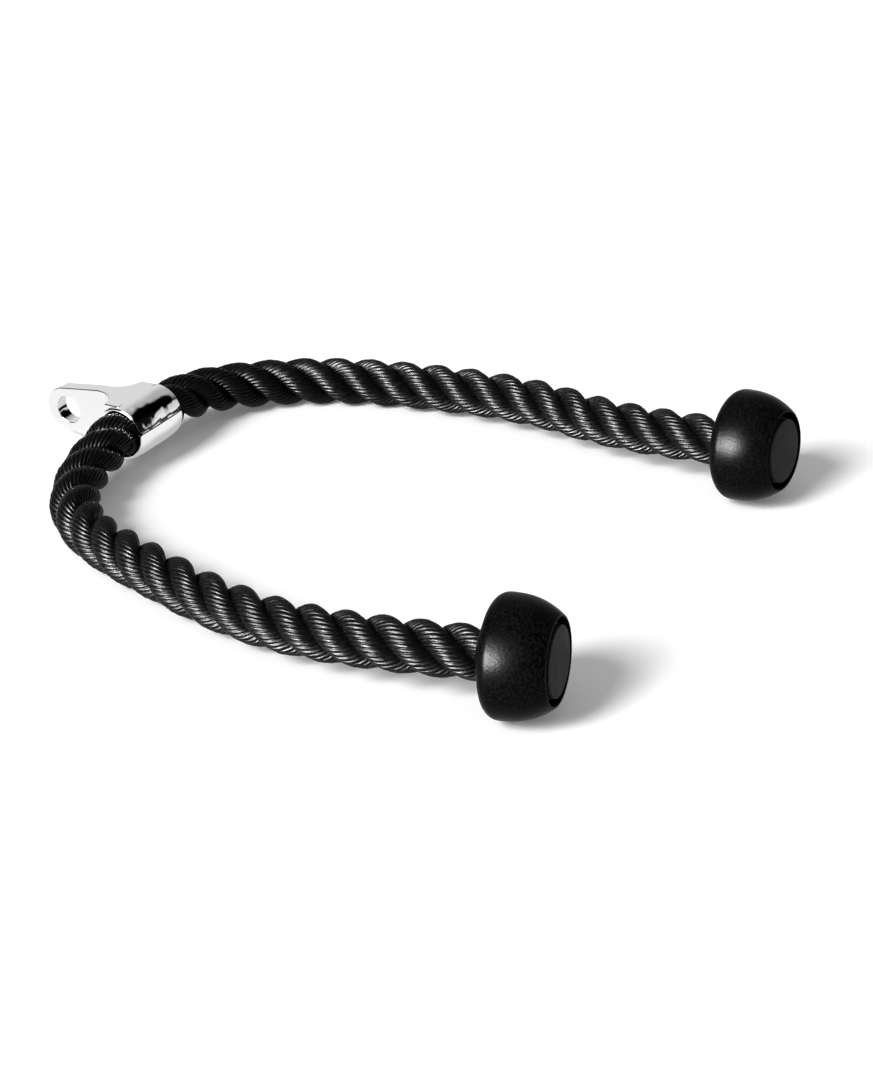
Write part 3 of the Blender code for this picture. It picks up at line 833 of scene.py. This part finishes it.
def joined(tree, operation, first, second):
    node = tree.nodes.new("ShaderNodeMath")
    node.operation = operation
    tree.links.new(first, node.inputs[0])
    tree.links.new(second, node.inputs[1])
    return node.outputs["Value"]


def mirrored_level(tree):
    """What the chrome mirrors of the studio: two white panels, dimmed by flags, and one overhead."""
    level = joined(tree, "ADD", patch(tree, **SWEEP), patch(tree, **PANEL))
    for flag in (FLAG, SOFT_FLAG, FRONT_FLAG):
        level = joined(tree, "MULTIPLY", level, patch(tree, **flag))
    return joined(tree, "ADD", level, patch(tree, **OVERHEAD))


def build_world():
    world = bpy.data.worlds.new("studio")
    bpy.context.scene.world = world
    world.use_nodes = True
    tree = world.node_tree
    tree.nodes.clear()
    fill = add(tree, "ShaderNodeBackground", Color=WHITE, Strength=FILL)
    seen = add(tree, "ShaderNodeBackground", Color=WHITE, Strength=1.0)
    mirror = add(tree, "ShaderNodeBackground", Color=WHITE)
    tree.links.new(mirrored_level(tree), mirror.inputs["Strength"])
    shader = by_ray(tree, "Is Glossy Ray", fill.outputs["Background"], mirror.outputs["Background"])
    shader = by_ray(tree, "Is Camera Ray", shader, seen.outputs["Background"])
    out = tree.nodes.new("ShaderNodeOutputWorld")
    tree.links.new(shader, out.inputs["Surface"])


def build_lamp(name, turn, rise, strength, width):
    light = bpy.data.lights.new(name, "SUN")
    light.energy = strength
    light.angle = math.radians(width)
    lamp = bpy.data.objects.new(name, light)
    bpy.context.collection.objects.link(lamp)
    lamp.rotation_mode = "QUATERNION"
    lamp.rotation_quaternion = heading(turn, rise).to_track_quat("Z", "Y")
    return lamp


def build_lamps():
    """Two lamps that light everything, and one that only shows as highlights on what is glossy."""
    build_lamp("key", **KEY)
    build_lamp("low_key", **LOW_KEY)
    core = build_lamp("key_core", **KEY_CORE)
    core.visible_diffuse = False
    core.data.use_nodes = True
    tree = core.data.node_tree
    tree.links.new(first_bounces(tree), tree.nodes["Emission"].inputs["Strength"])


def build_camera():
    lens = bpy.data.cameras.new("camera")
    lens.lens = CAMERA_LENS
    lens.sensor_width = CAMERA_SENSOR
    camera = bpy.data.objects.new("camera", lens)
    bpy.context.collection.objects.link(camera)
    camera.location = CAMERA_PLACE
    camera.rotation_euler = (CAMERA_TILT, 0, CAMERA_TURN)
    bpy.context.scene.camera = camera


def build_stage():
    build_floor()
    build_world()
    build_lamps()
    build_camera()
    bpy.context.scene.view_settings.view_transform = "Standard"


def build_ropes():
    finish = rope_material()
    for side in SIDES:
        along, line = arm_path(side)
        rope = rope_piece(side, along[-1], finish)
        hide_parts(f"{side}_rope_bend", f"{side}_rope_arm", "rope_centre")
        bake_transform(rope)


def build_clamp():
    clamp = clamp_piece(chrome_material())
    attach(clamp, "clamp")
    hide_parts("clamp")


def build_ends():
    rubber = rubber_material("moulded_rubber", **RUBBER)
    dull = rubber_material("dull_plug", **PLUG)
    steel = steel_material()
    for side in SIDES:
        start, out = stopper_place(side)
        turn = Vector((0, 0, 1)).rotation_difference(out).to_matrix().to_4x4()
        place = Matrix.Translation(start) @ turn
        body = piece(f"{side}_moulded_stopper", stopper_mesh(), place, rubber)
        face = piece(f"{side}_plug_face", plug_mesh(), place, dull)
        for made, slot, node in ((body, "rubber", "stopper"), (face, "plug", "end_plug")):
            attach(made, f"{side}_arm")
            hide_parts(f"{side}_{node}")
        for node in ("washer", "ferrule"):
            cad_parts[f"{side}_{node}"].data.materials.clear()
            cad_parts[f"{side}_{node}"].data.materials.append(steel)


build_stage()
build_ropes()
build_clamp()
build_ends()
